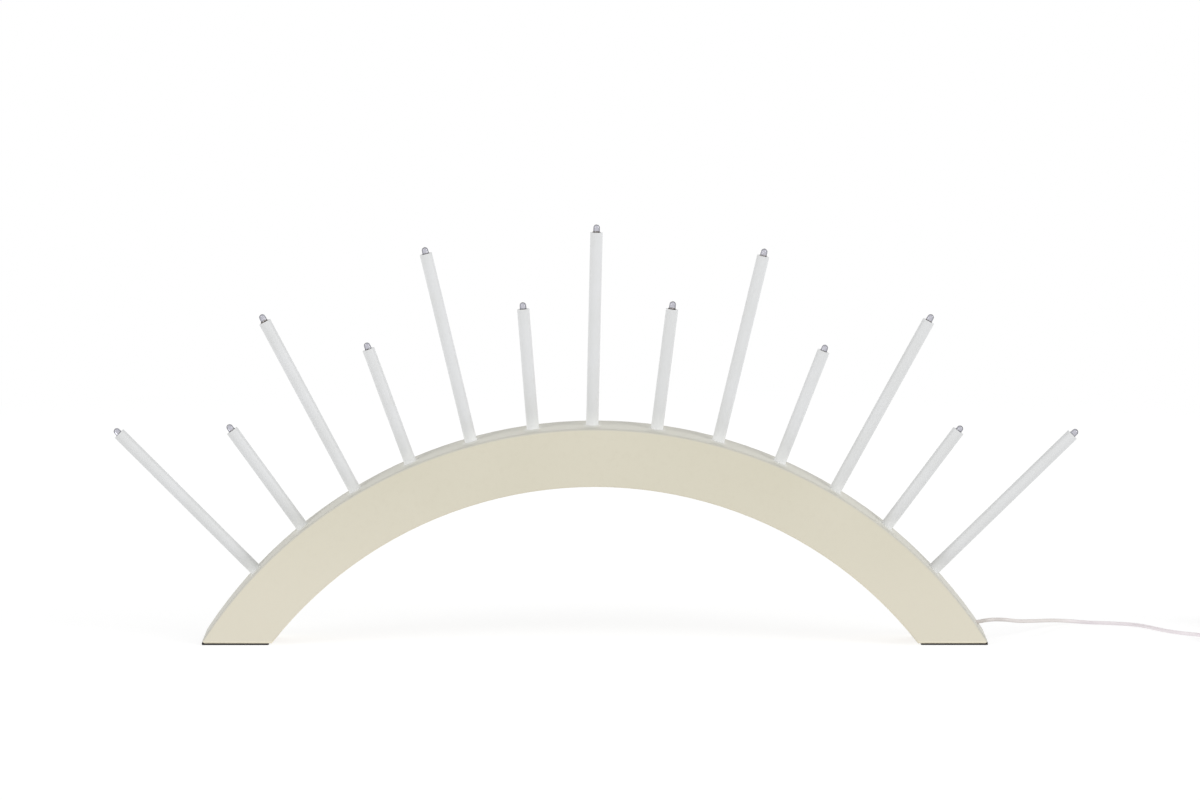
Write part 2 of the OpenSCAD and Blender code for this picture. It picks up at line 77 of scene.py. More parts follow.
def piece_of(name, points, faces, place=None):
    """A piece from its points in millimetres and its faces, moved by place."""
    place = place or Matrix.Identity(4)
    mesh = bpy.data.meshes.new(name)
    mesh.from_pydata([place @ (MM * Vector(p)) for p in points], [], faces)
    shade_smooth(mesh)
    mesh.update()
    return piece_from(name, mesh)


def tube_rings(path, radius, sides):
    """Points and faces of a closed round tube that follows a path without twisting."""
    path = [Vector(p) for p in path]
    last = len(path) - 1
    ways = [(path[min(i + 1, last)] - path[max(i - 1, 0)]).normalized() for i in range(last + 1)]
    side = ways[0].orthogonal().normalized()
    points, faces = [], []
    for at, way in zip(path, ways):
        side = (side - way * side.dot(way)).normalized()
        lift = way.cross(side)
        for k in range(sides):
            turn = math.tau * k / sides
            points.append(at + radius * (math.cos(turn) * side + math.sin(turn) * lift))
    for ring in range(last):
        for k in range(sides):
            a, b = ring * sides + k, ring * sides + (k + 1) % sides
            faces.append((a, b, b + sides, a + sides))
    faces.append(tuple(reversed(range(sides))))
    faces.append(tuple(range(last * sides, (last + 1) * sides)))
    return points, faces


def turned(profile, sides):
    """Points and faces of (radius, height) pairs turned about Z, with one point where the radius is 0."""
    points, faces, rings = [], [], []
    for radius, height in profile:
        if radius == 0:
            rings.append([len(points)])
            points.append(Vector((0, 0, height)))
        else:
            rings.append(list(range(len(points), len(points) + sides)))
            for k in range(sides):
                turn = math.tau * k / sides
                points.append(Vector((radius * math.cos(turn), radius * math.sin(turn), height)))
    for low, high in zip(rings, rings[1:]):
        for k in range(sides):
            a, b = low[k % len(low)], low[(k + 1) % len(low)]
            c, d = high[(k + 1) % len(high)], high[k % len(high)]
            faces.append(tuple(dict.fromkeys((a, b, c, d))))
    return points, faces


def plate(outline, thickness):
    """Points and faces of a flat plate in the XZ plane."""
    count = len(outline)
    points = [Vector((x, y, z)) for y in (-thickness / 2, thickness / 2) for x, z in outline]
    faces = [tuple(range(count)), tuple(reversed(range(count, 2 * count)))]
    faces += [(k, k + count, (k + 1) % count + count, (k + 1) % count) for k in range(count)]
    return points, faces


def joined(*forms):
    """Several forms as one list of points and one of faces."""
    points, faces = [], []
    for more_points, more_faces in forms:
        faces += [tuple(i + len(points) for i in face) for face in more_faces]
        points += more_points
    return points, faces


def shifted(form, x, y, z):
    points, faces = form
    return [p + Vector((x, y, z)) for p in points], faces


def smooth_route(points, steps):
    """A smooth curve through the points, with the given number of steps between two of them."""
    points = [Vector(p) for p in points]
    ends = [2 * points[0] - points[1], *points, 2 * points[-1] - points[-2]]
    curve = []
    for p0, p1, p2, p3 in zip(ends, ends[1:], ends[2:], ends[3:]):
        for step in range(steps):
            t = step / steps
            curve.append(0.5 * (2 * p1 + (p2 - p0) * t + (2 * p0 - 5 * p1 + 4 * p2 - p3) * t * t
                                + (3 * p1 - p0 - 3 * p2 + p3) * t ** 3))
    return curve + [points[-1]]


# The lead: out of the right foot, over the table behind the arch, then wound up past the view's edge
CORD_D = 2.8
CORD_SIDES = 12
ROUTE_STEPS = 6
EXIT_POINT = (281.364, 0, 13.347)
EXIT_RUN = (286.879, 0, 14.320)
LEAD_ROUTE = [
    (293, 2, 14.5), (300, 3, 14.2), (306, 7, 13), (312, 14, 11.5), (319, 24, 10), (325, 35, 8.5),
    (331, 46, 7), (338, 57, 5.5), (345, 66, 4), (352, 72, 2.8), (360, 75, 1.8), (368, 74, 1.4),
    (376, 72, 1.4), (384, 70, 1.4), (392, 67, 1.4), (400, 63, 1.4), (407, 56, 1.4), (413, 47, 1.4),
    (419, 37, 1.4), (425, 29, 1.4), (432, 22, 1.4), (439, 16, 1.5), (445, 9, 1.8), (449, 2, 2.3),
]
COIL_AT = (473, -8)
COIL_TURNS = 14.5
COIL_LAYERS = 4
COIL_PITCH = 3.3
COIL_IN_R = 11
COIL_OUT_R = COIL_IN_R + COIL_PITCH * COIL_TURNS / COIL_LAYERS
COIL_BASE = 2.6
COIL_STEPS = 36
# The part of a turn in which the lead climbs from one layer of the coil to the next
COIL_CLIMB = 0.5
RELIEF_AT = (495.9625, -2, 12.5)


def coil_point(turns):
    """A point of the coil's middle line, which goes in and out again layer by layer."""
    layer_turns = COIL_TURNS / COIL_LAYERS
    layer, inward = divmod(turns, layer_turns)
    if layer % 2:
        inward = layer_turns - inward
    radius = COIL_OUT_R - COIL_PITCH * inward
    climbs = [min(max((turns - k * layer_turns) / COIL_CLIMB + 0.5, 0), 1) for k in range(1, COIL_LAYERS)]
    turn = math.pi + math.tau * turns
    return (COIL_AT[0] + radius * math.cos(turn), COIL_AT[1] + radius * math.sin(turn),
            COIL_BASE + COIL_PITCH * sum(climbs))


coil_start = (COIL_AT[0] - COIL_OUT_R, COIL_AT[1] + CORD_D, COIL_BASE)
coil_count = round(COIL_TURNS * COIL_STEPS)
coil_line = [coil_point(k / COIL_STEPS) for k in range(coil_count)]
coil_line.append((COIL_AT[0] + COIL_OUT_R, COIL_AT[1], RELIEF_AT[2]))
free_line = smooth_route([EXIT_POINT, EXIT_RUN, *LEAD_ROUTE, coil_start], ROUTE_STEPS)
lead_line = [*free_line, *[Vector(p) for p in coil_line], Vector(RELIEF_AT)]

lead = piece_of("lead", *tube_rings(lead_line, CORD_D / 2, CORD_SIDES))
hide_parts("power_cord", "cord_coil")

# The lead's inner stretch: straight down its sloping hole, then round a bend up to the joint with the harness
HOLE_RISE = math.radians(10)
TAIL_RUN = 36.913
TAIL_BEND_R = 8
TAIL_BEND_TURN = math.radians(59.5)
TAIL_BEND_STEPS = 6
TAIL_STUB = 1.4
TAIL_STEPS = 3


def tail_line():
    """The inner stretch's middle line, from the free lead inward."""
    inward = Vector((-math.cos(HOLE_RISE), 0, -math.sin(HOLE_RISE)))
    upward = Vector((-math.sin(HOLE_RISE), 0, math.cos(HOLE_RISE)))
    start = Vector(EXIT_POINT)
    centre = start + TAIL_RUN * inward + TAIL_BEND_R * upward
    bend = []
    for k in range(TAIL_BEND_STEPS + 1):
        turn = TAIL_BEND_TURN * k / TAIL_BEND_STEPS
        bend.append(centre + TAIL_BEND_R * (math.sin(turn) * inward - math.cos(turn) * upward))
    onward = math.cos(TAIL_BEND_TURN) * inward + math.sin(TAIL_BEND_TURN) * upward
    return [start, (start + bend[0]) / 2, *bend, bend[-1] + TAIL_STUB * onward]


tail_route = smooth_route(tail_line(), TAIL_STEPS)
lead_tail = piece_of("lead_tail", *tube_rings(tail_route, CORD_D / 2, CORD_SIDES))
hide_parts("cord_tail")


# The strain relief: a tapered boot with grooves that let it bend
RELIEF_L = 24
RELIEF_TIP_R = 1.8
RELIEF_R = 3.6
GROOVES = 6
GROOVE_W = 1.4
GROOVE_DEPTH = 0.55
GROOVE_EDGE = 0.2
RELIEF_SIDES = 32


def relief_form():
    def radius(height):
        return RELIEF_TIP_R + (RELIEF_R - RELIEF_TIP_R) * height / RELIEF_L

    pitch = (RELIEF_L - 2 * GROOVE_W) / GROOVES
    profile = [(0, 0), (radius(0) - GROOVE_EDGE, 0), (radius(0), GROOVE_EDGE)]
    for k in range(GROOVES):
        low = GROOVE_W + k * pitch
        high = low + GROOVE_W
        profile += [(radius(low), low), (radius(low) - GROOVE_DEPTH, low + GROOVE_EDGE),
                    (radius(high) - GROOVE_DEPTH, high - GROOVE_EDGE), (radius(high), high)]
    return turned([*profile, (RELIEF_R, RELIEF_L), (0, RELIEF_L)], RELIEF_SIDES)


relief_place = Matrix.Translation(MM * Vector(RELIEF_AT)) @ Matrix.Rotation(math.radians(-90), 4, "X")
lead_relief = piece_of("lead_relief", *relief_form(), place=relief_place)
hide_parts("cord_relief")
[MM * p for p in lead_line]


# The arch's sizes in millimetres, as in the CAD
ARCH_R = 341
ARCH_IN = 298.5
ARCH_Z = -182.5
BAND_D = 54
PAD_T = 1.2
TUBE_R = 4.5

# The arch: the solid's own form, with the facets of its four long arrises set even and round
ARRIS_R = 1.2
ARRIS_STEPS = 5
# How far from the crown, in degrees, the even arrises run; the feet keep their own
OUTER_REACH = 56
INNER_REACH = 51
# A longer edge than this in an arris's strip is a facet's diagonal
DIAGONAL_L = 3 * ARRIS_R
# Points this near one another are one, and a point this near an edge lies on it
WELD = 0.001
NEAR = 0.02
# The share of the solid's volume by which the even arch may differ from it
VOLUME_SHARE = 0.002


def round_arch(point):
    """A point's angle from the crown in degrees, its distance from the arch's centre and its way outward."""
    radial = Vector((point.x, 0, point.z - MM * ARCH_Z))
    return math.degrees(math.atan2(radial.x, radial.z)), radial.length / MM, radial.normalized()


def on_arris(point, outer):
    """A point's place on the section of an arris, across to the curved face and across to the flat face."""
    _, radius, _ = round_arch(point)
    sunk = radius - (ARCH_R - ARRIS_R) if outer else ARCH_IN + ARRIS_R - radius
    return sunk, abs(point.y) / MM - (BAND_D / 2 - ARRIS_R)


def welded(mesh):
    """An editable copy of a mesh, in which the corners that lie on one another are one."""
    bm = bmesh.new()
    bm.from_mesh(mesh)
    bmesh.ops.remove_doubles(bm, verts=bm.verts, dist=MM * WELD)
    return bm


def even_arrises(mesh, outer):
    """Welds each arris's fan of slivers to its curved edge, then rounds the plain strip that stays."""
    bm = welded(mesh)
    reach = OUTER_REACH if outer else INNER_REACH

    def in_reach(vert):
        return abs(round_arch(vert.co)[0]) < reach

    def between(vert):
        return in_reach(vert) and min(on_arris(vert.co, outer)) > NEAR

    def at(vert, sunk, across):
        point = on_arris(vert.co, outer)
        return abs(point[0] - sunk) < NEAR and abs(point[1] - across) < NEAR

    curved = [v for v in bm.verts if at(v, ARRIS_R, 0)]
    flat = {v for v in bm.verts if at(v, 0, ARRIS_R)}
    nearest = KDTree(len(curved))
    for index, vert in enumerate(curved):
        nearest.insert(vert.co, index)
    nearest.balance()
    if curved:
        fans = {v: curved[nearest.find(v.co)[1]] for v in bm.verts if between(v)}
        bmesh.ops.weld_verts(bm, targetmap=fans)

    curved = set(curved)
    strips = [e for e in bm.edges if len(curved & set(e.verts)) == 1 and len(flat & set(e.verts)) == 1
              and all(in_reach(v) for v in e.verts)]
    diagonals = [e for e in strips if e.calc_length() > MM * DIAGONAL_L]
    bmesh.ops.dissolve_edges(bm, edges=diagonals, use_verts=False)
    straight = [e for e in strips if e.is_valid]
    bmesh.ops.subdivide_edges(bm, edges=straight, cuts=ARRIS_STEPS - 1, use_grid_fill=True)
    for vert in bm.verts:
        if between(vert):
            across = Vector(on_arris(vert.co, outer))
            more = (ARRIS_R / across.length - 1) * across
            way = round_arch(vert.co)[2] * (1 if outer else -1)
            vert.co += MM * (more.x * way + more.y * Vector((0, math.copysign(1, vert.co.y), 0)))
    bm.to_mesh(mesh)
    bm.free()


def arch_normal(point, corners):
    """The true normal at a corner of one of the arch's plain faces or even arrises, or none elsewhere."""
    _, radius, outward = round_arch(point)
    side = Vector((0, math.copysign(1, point.y), 0))
    if all(abs(c.y) / MM > BAND_D / 2 - NEAR for c in corners):
        return side
    for outer, way, rim in ((True, outward, ARCH_R), (False, -outward, ARCH_IN)):
        if all(abs(round_arch(c)[1] - rim) < NEAR for c in corners):
            return way
        if all(min(on_arris(c, outer)) > -NEAR for c in corners):
            across = on_arris(point, outer)
            return (across[0] * way + across[1] * side).normalized()
    return Vector((0, 0, 0))


def closed_volume(mesh):
    """What a mesh holds, or nothing where it has an open edge or faces that lie turned against each other."""
    bm = welded(mesh)
    volume = bm.calc_volume() if all(edge.is_contiguous for edge in bm.edges) else 0
    bm.free()
    return volume


def smooth_arch():
    """The arch with even arrises, or nothing where its facets don't take them."""
    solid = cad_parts["arch_body"].data
    mesh = solid.copy()
    for outer in (True, False):
        even_arrises(mesh, outer)
    held, whole = closed_volume(mesh), closed_volume(solid)
    if not held or abs(held - whole) > VOLUME_SHARE * whole:
        return None
    shade_smooth(mesh)
    normals = []
    for polygon in mesh.polygons:
        corners = [mesh.vertices[k].co for k in polygon.vertices]
        normals += [arch_normal(corner, corners) for corner in corners]
    mesh.normals_split_custom_set(normals)
    return piece_from("arch", mesh)


arch = smooth_arch()
if arch:
    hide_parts("arch_body")


# The candles: their pitch and each one's own lean in degrees, then how far its bore strays along the rim and
# how high its diode stands over the rim
CANDLE_PITCH = 7.76111
CANDLE_LEANS = [1.96, 3.07, 3.07, 3.24, 2.02, 3.05, 1.58, -0.5, -1.87, -2.04, -2.33, -1.96, -1.11]
BORE_STRAYS = [-0.36, 0.045, 0.945, 0.135, 0.945, 0.9, -1.89, -0.765, -1.26, 0.045, -0.765, -0.99, 0]
DIODE_HEIGHTS = [
    139.485, 86.41, 139.76, 87.295, 139.83, 86.845, 140.37, 88.005, 138.72, 86.37, 140.915, 85.54, 140.28,
]
MIDDLE_CANDLE = 7

# The diodes: a clear body over its lead frame, one on each candle
FLANGE_R = 2.95
FLANGE_H = 1
BODY_R = 2.5
DOME_R = 2.35
DIODE_H = 6.2
MOULD_EDGE = 0.1
BODY_SIDES = 40
# The dome's rings, in degrees up from its middle
DOME_RINGS = [9 * k + 4.5 for k in range(1, 10)]
# The body is lifted off its collar by this much, so that the two faces don't lie in one plane
BODY_LIFT = 0.02
# The lead frame's two stamped strips: the broad one carries the cup, the narrow one takes the bond wire
CUP_STRIP = [
    (-1.52, -8), (-1.02, -8), (-1.02, 0.1), (-0.7, 0.25), (0.25, 0.3), (0.4, 0.45), (0.4, 0.8), (-1.3, 0.8),
    (-1.55, 0.6), (-1.55, 0.4), (-1.52, 0.2),
]
WIRE_STRIP = [
    (1.02, -8), (1.52, -8), (1.52, 0.2), (1.6, 0.35), (1.6, 0.65), (1.4, 1), (1.05, 1), (0.95, 0.55),
    (1.02, 0.2),
]
STRIP_T = 0.5
CUP_X = -0.3
CUP_PROFILE = [(0, 0.75), (0.45, 0.75), (0.66, 1.2), (0.55, 1.2), (0.36, 0.92), (0, 0.92)]
PHOSPHOR_PROFILE = [(0, 0.93), (0.35, 0.93), (0.51, 1.15), (0.27, 1.22), (0, 1.24)]
BOND_WIRE = [(-0.3, 0, 1.22), (-0.15, 0, 1.46), (0.3, 0, 1.6), (0.85, 0, 1.4), (1.2, 0, 0.99)]
BOND_WIRE_R = 0.05
BOND_WIRE_SIDES = 6
CUP_SIDES = 20


def candle_place(number):
    """Frame of a candle: origin on the rim, Z up its axis."""
    station = math.radians((number - MIDDLE_CANDLE) * CANDLE_PITCH) + BORE_STRAYS[number - 1] / ARCH_R
    lean = math.radians(CANDLE_LEANS[number - 1])
    foot = Vector((ARCH_R * math.sin(station), 0, ARCH_Z + ARCH_R * math.cos(station)))
    return Matrix.Translation(MM * foot) @ Matrix.Rotation(station + lean, 4, "Y")


def diode_body_form():
    dome_z = DIODE_H - DOME_R
    profile = [
        (0, BODY_LIFT), (FLANGE_R - MOULD_EDGE, BODY_LIFT), (FLANGE_R, BODY_LIFT + MOULD_EDGE),
        (FLANGE_R, FLANGE_H - MOULD_EDGE), (FLANGE_R - MOULD_EDGE, FLANGE_H), (BODY_R + MOULD_EDGE, FLANGE_H),
        (BODY_R, FLANGE_H + MOULD_EDGE), (DOME_R, dome_z),
    ]
    for ring in DOME_RINGS:
        rise = math.radians(ring)
        profile.append((DOME_R * math.cos(rise), dome_z + DOME_R * math.sin(rise)))
    points, faces = turned([*profile, (0, DIODE_H)], BODY_SIDES)
    # The flange's flat, which marks one lead
    return [Vector((min(p.x, BODY_R), p.y, p.z)) for p in points], faces


def lead_frame_form():
    return joined(plate(CUP_STRIP, STRIP_T), plate(WIRE_STRIP, STRIP_T),
                  shifted(turned(CUP_PROFILE, CUP_SIDES), CUP_X, 0, 0),
                  tube_rings(BOND_WIRE, BOND_WIRE_R, BOND_WIRE_SIDES))


def phosphor_form():
    return shifted(turned(PHOSPHOR_PROFILE, CUP_SIDES), CUP_X, 0, 0)


for number, height in enumerate(DIODE_HEIGHTS, 1):
    place = candle_place(number) @ Matrix.Translation(MM * Vector((0, 0, height)))
    body = piece_of(f"diode_body_{number:02d}", *diode_body_form(), place=place)
    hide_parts(f"led_{number:02d}")
    # The cup's strip stands on the side of the flat
    place = place @ Matrix.Rotation(math.pi, 4, "Z")
    strips = piece_of(f"diode_frame_{number:02d}", *lead_frame_form(), place=place)
    grain = piece_of(f"diode_phosphor_{number:02d}", *phosphor_form(), place=place)


# Shader arithmetic
class Signal:
    """An output of a shader node that takes part in plain arithmetic."""

    def __init__(self, finish, socket):
        self.finish = finish
        self.socket = socket

    def maths(self, operation, *terms):
        return self.finish.node("ShaderNodeMath", {"operation": operation}, dict(enumerate(terms)))

    def __add__(self, other):
        return self.maths("ADD", self, other)

    def __sub__(self, other):
        return self.maths("SUBTRACT", self, other)

    def __rsub__(self, other):
        return self.maths("SUBTRACT", other, self)

    def __mul__(self, other):
        return self.maths("MULTIPLY", self, other)

    def __pow__(self, other):
        return self.maths("POWER", self, other)

    def __abs__(self):
        return self.maths("ABSOLUTE", self)

    __radd__ = __add__
    __rmul__ = __mul__

    def rise(self, low, high):
        """0 below low and 1 above high, with a smooth ramp between them."""
        return self.finish.node("ShaderNodeMapRange", {"interpolation_type": "SMOOTHSTEP"},
                                {"Value": self, "From Min": low, "From Max": high})

    def fade(self, start, places):
        """The same ramp between two places, which are told in millimetres from start."""
        return self.rise(MM * (start + places[0]), MM * (start + places[1]))


class Finish:
    """A material, or the world, built up node by node."""

    def __init__(self, owner):
        owner.use_nodes = True
        self.owner = owner
        self.tree = owner.node_tree
        self.tree.nodes.clear()

    def node(self, kind, settings=None, sockets=None, output=0):
        made = self.tree.nodes.new(kind)
        for name, value in (settings or {}).items():
            setattr(made, name, value)
        for key, value in (sockets or {}).items():
            if isinstance(value, Signal):
                self.tree.links.new(value.socket, made.inputs[key])
            else:
                made.inputs[key].default_value = value
        return Signal(self, made.outputs[output]) if made.outputs else None

    def place(self):
        """Where a point lies in the part's own frame."""
        return self.node("ShaderNodeTexCoord", output="Object")

    def axes(self):
        return [self.node("ShaderNodeSeparateXYZ", sockets={0: self.place()}, output=k) for k in range(3)]

    def noise(self, scale, detail, rough=0.5, stretch=(1, 1, 1)):
        """Noise from 0 to 1, with scale features to the metre, drawn out along the axes by stretch."""
        spread = self.node("ShaderNodeVectorMath", {"operation": "DIVIDE"}, {0: self.place(), 1: stretch})
        return self.node("ShaderNodeTexNoise", sockets={"Vector": spread, "Scale": scale, "Detail": detail,
                                                        "Roughness": rough})

    def specks(self, scale, size):
        """1 in the middle of small scattered specks, 0 between them."""
        sockets = {"Vector": self.place(), "Scale": scale}
        return 1 - self.node("ShaderNodeTexVoronoi", sockets=sockets, output="Distance").rise(0, size)

    def from_nearest(self, marks, across=(1, 1, 1)):
        """How far a point lies from the nearest of some marks; an axis with 0 in across doesn't count."""
        flat = self.node("ShaderNodeVectorMath", {"operation": "MULTIPLY"}, {0: self.place(), 1: across})
        nearest = None
        for mark in marks:
            ends = {0: flat, 1: tuple(mark)}
            away = self.node("ShaderNodeVectorMath", {"operation": "DISTANCE"}, ends, "Value")
            nearest = nearest.maths("MINIMUM", nearest, away) if nearest else away
        return nearest

    def tint(self, base, other, share):
        """The base colour, turned towards the other one by share."""
        return self.node("ShaderNodeMix", {"data_type": "RGBA"}, {0: share, 6: base, 7: other}, output=2)

    def relief(self, height, depth, strength):
        """A normal from a height of 0 to 1 that stands for depth in metres."""
        sockets = {"Height": height, "Distance": depth, "Strength": strength}
        return self.node("ShaderNodeBump", sockets=sockets)

    def surface(self, **sockets):
        """The Principled shader, and its link to the output."""
        named = {name.replace("_", " "): value for name, value in sockets.items()}
        self.output(self.node("ShaderNodeBsdfPrincipled", sockets=named))
        return self.owner

    def output(self, shader):
        kind = "World" if isinstance(self.owner, bpy.types.World) else "Material"
        self.node("ShaderNodeOutput" + kind, sockets={"Surface": shader})


def paint(red, green, blue):
    """A colour as it is read off a screen, from 0 to 255, in the linear values that a shader takes."""
    shares = [c / 255 for c in (red, green, blue)]
    return (*[c / 12.92 if c <= 0.04045 else ((c + 0.055) / 1.055) ** 2.4 for c in shares], 1)


def new_finish(name):
    return Finish(bpy.data.materials.new(name))


# Finishes
def arch_radius(f):
    """How far a point lies from the arch's centre line."""
    x, _, z = f.axes()
    return (x * x + (z - MM * ARCH_Z) ** 2) ** 0.5


# Where the lacquer's colour fades from one tone to another, most of them painted shade, light, highlights and
# reflections, from the outer arc, the flat faces, the table, the pads, the inner arc and the tubes
RIM_FADE = (-1.6, -0.2)
RIM_SIDE_FADE = (-12, -1)
FACE_ARRIS_FADE = (-1.2, -0.3)
LOW_RIM_SHADE_FADE = (20, 110)
LOW_BAND_LIGHT_FADE = (20, 120)
FOOT_EDGE_FADE = (0.8, 2.2)
INNER_ARRIS_FADE = (0.3, 1.2)
TUBE_REFLECTION_FADE = (-0.5, 3.5)
# How wide the painted reflection of a tube fades along the rim, as a share of its length across the rim
TUBE_REFLECTION_DEPTH_SHARE = 0.4


def cream_lacquer():
    """Sprayed cream lacquer with dust nibs and orange peel; painted shade greys the rim, painted light from
    the floor makes the feet paler, painted highlights line the feet's bottom arrises and the inner arrises,
    and painted reflections of the tubes lie on the rim.
    """
    f = new_finish("cream_lacquer")
    radius = arch_radius(f)
    _, y, z = f.axes()
    on_rim = radius.fade(ARCH_R, RIM_FADE)
    low_rim_shade = on_rim * (1 - z.fade(0, LOW_RIM_SHADE_FADE))
    rim_edge_shade = on_rim * abs(y).fade(BAND_D / 2, RIM_SIDE_FADE)
    bores = [candle_place(number).translation for number in range(1, len(DIODE_HEIGHTS) + 1)]
    tube_reflection = 1 - f.from_nearest(bores, (1, TUBE_REFLECTION_DEPTH_SHARE, 1)).fade(TUBE_R, TUBE_REFLECTION_FADE)
    foot_edge_highlight = 1 - z.fade(PAD_T, FOOT_EDGE_FADE)
    inner_edge_highlight = (1 - radius.fade(ARCH_IN, INNER_ARRIS_FADE)) * abs(y).fade(BAND_D / 2, FACE_ARRIS_FADE)
    drift = f.noise(7, 3).rise(0.3, 0.7)
    mottle = f.noise(240, 3, 0.6)
    nibs = f.specks(70, 0.02)
    colour = f.tint(paint(217, 212, 194), paint(213, 208, 189), drift)
    colour = f.tint(colour, paint(209, 203, 184), 0.3 * mottle.rise(0.45, 0.8))
    # Paler towards the table: painted light bounced up from the floor
    colour = f.tint(colour, paint(224, 218, 201), 0.6 * (1 - z.fade(0, LOW_BAND_LIGHT_FADE)))
    # The rim greyer than the flat faces: painted shade
    colour = f.tint(colour, paint(204, 202, 191), on_rim)
    # Darker towards the flat faces' edges on the rim: painted shade of the rounded arrises
    colour = f.tint(colour, paint(190, 188, 178), rim_edge_shade * (0.6 - 0.42 * low_rim_shade))
    # The rim's low ends greyer still: painted shade
    colour = f.tint(colour, paint(191, 189, 180), 0.6 * low_rim_shade)
    # Pale patches round each bore: painted reflections of the tubes in the rim
    colour = f.tint(colour, paint(228, 228, 223), 0.6 * on_rim * tube_reflection)
    # Pale cream along the feet's bottom arrises and the inner arrises: painted highlights
    colour = f.tint(colour, paint(240, 231, 208), 0.7 * foot_edge_highlight + 0.5 * inner_edge_highlight)
    colour = f.tint(colour, paint(198, 190, 168), 0.5 * nibs)
    peel = f.noise(420, 1) * 0.7 + f.noise(90, 1) * 0.3 + nibs * 0.5
    return f.surface(Base_Color=colour, Roughness=0.36 + 0.1 * mottle + 0.08 * on_rim,
                     Specular_IOR_Level=0.35, Normal=f.relief(peel, 0.00006, 0.35))


# Where the tubes' painted light at their feet fades, from the rim
TUBE_FOOT_LIGHT_FADE = (-4, 14)


def tube_plastic():
    """White extruded plastic: faint cloudiness and rubbed patches, with painted light making it paler down at
    the rim.
    """
    f = new_finish("tube_plastic")
    cloud = f.noise(25, 3)
    rub = f.noise(180, 2, 0.6)
    colour = f.tint(paint(222, 223, 224), paint(219, 220, 220), cloud.rise(0.35, 0.65))
    colour = f.tint(colour, paint(212, 212, 208), 0.25 * rub.rise(0.55, 0.8))
    # Paler down at the rim: painted light against the shade there
    colour = f.tint(colour, paint(241, 242, 242), 0.9 * (1 - arch_radius(f).fade(ARCH_R, TUBE_FOOT_LIGHT_FADE)))
    return f.surface(Base_Color=colour, Roughness=0.42 + 0.12 * rub, Specular_IOR_Level=0.4,
                     Normal=f.relief(rub, 0.00002, 0.3))


# Where the clear bodies turn brownish with painted shade, from the middle of the dome
FLANGE_SHADE_FADE = (3.8, 4.2)


def clear_epoxy():
    """Clear moulded epoxy: a lilac cast with a faint haze, painted shade darker edge-on and painted brownish
    shade down at the flange.
    """
    f = new_finish("clear_epoxy")
    haze = f.noise(900, 2)
    edge_on_shade = f.node("ShaderNodeLayerWeight", sockets={"Blend": 0.5}, output="Facing")
    domes = [candle_place(number) @ Vector((0, 0, MM * (height + DIODE_H - DOME_R)))
             for number, height in enumerate(DIODE_HEIGHTS, 1)]
    flange_shade = f.from_nearest(domes).fade(0, FLANGE_SHADE_FADE)
    colour = f.tint(paint(195, 195, 204), paint(182, 181, 190), haze.rise(0.35, 0.7))
    # Darker edge-on: painted shade for the dark surroundings seen through the body's edges
    colour = f.tint(colour, paint(84, 84, 96), 0.9 * edge_on_shade.rise(0.05, 0.5))
    # Brownish down at the flange: painted shade of the gap in the collar, brown like the collar below
    colour = f.tint(colour, paint(112, 100, 86), 0.85 * flange_shade)
    return f.surface(Base_Color=colour, Roughness=0.08 + 0.06 * haze, IOR=1.54, Transmission_Weight=1.0,
                     Normal=f.relief(haze, 0.00001, 0.2))


def lead_frame_metal():
    """Tinned steel strip, dull and brownish inside the epoxy."""
    f = new_finish("lead_frame_metal")
    stain = f.noise(1600, 3)
    return f.surface(Base_Color=f.tint(paint(168, 158, 144), paint(112, 94, 76), stain.rise(0.35, 0.65)),
                     Metallic=0.85, Roughness=0.3 + 0.2 * stain, Normal=f.relief(stain, 0.00001, 0.3))


def phosphor():
    """Grainy yellow phosphor in the cup."""
    f = new_finish("phosphor")
    grain = f.noise(6000, 2)
    return f.surface(Base_Color=f.tint(paint(214, 190, 96), paint(190, 160, 70), grain),
                     Roughness=0.7 + 0.2 * grain, Normal=f.relief(grain, 0.00001, 0.5))


def collar_plastic():
    """Brown insulating plastic under the diodes."""
    f = new_finish("collar_plastic")
    grain = f.noise(1500, 3)
    return f.surface(Base_Color=f.tint(paint(98, 74, 52), paint(70, 50, 36), grain.rise(0.35, 0.7)),
                     Roughness=0.5 + 0.2 * grain, Normal=f.relief(grain, 0.00002, 0.4))


def pad_rubber():
    """Black-brown rubber with a fine grain and paler dust."""
    f = new_finish("pad_rubber")
    grain = f.noise(2200, 3, 0.6)
    dust = f.noise(260, 4, 0.6).rise(0.55, 0.8)
    colour = f.tint(paint(36, 31, 30), paint(24, 20, 19), grain.rise(0.3, 0.7))
    return f.surface(Base_Color=f.tint(colour, paint(74, 68, 64), 0.3 * dust), Roughness=0.8 + 0.18 * grain,
                     Specular_IOR_Level=0.2, Normal=f.relief(grain, 0.00012, 0.7))


def fibreboard():
    """Bare fibreboard: short pressed fibres, light and dark, in a tan ground."""
    f = new_finish("fibreboard")
    fibres = f.noise(900, 4, 0.7, (3, 1, 2))
    blotch = f.noise(45, 3)
    colour = f.tint(paint(186, 166, 130), paint(150, 126, 92), blotch.rise(0.3, 0.75))
    colour = f.tint(colour, paint(112, 90, 62), 0.6 * fibres.rise(0.58, 0.75))
    return f.surface(Base_Color=colour, Roughness=0.8 + 0.15 * fibres, Normal=f.relief(fibres, 0.00015, 0.7))


def screw_zinc():
    """Zinc-plated steel with a brushed, lightly stained face."""
    f = new_finish("screw_zinc")
    brush = f.noise(2600, 3, 0.6, (6, 1, 1))
    colour = f.tint(paint(190, 188, 180), paint(150, 146, 134), brush.rise(0.3, 0.7))
    return f.surface(Base_Color=colour, Metallic=1.0, Roughness=0.28 + 0.22 * brush,
                     Normal=f.relief(brush, 0.00002, 0.5))


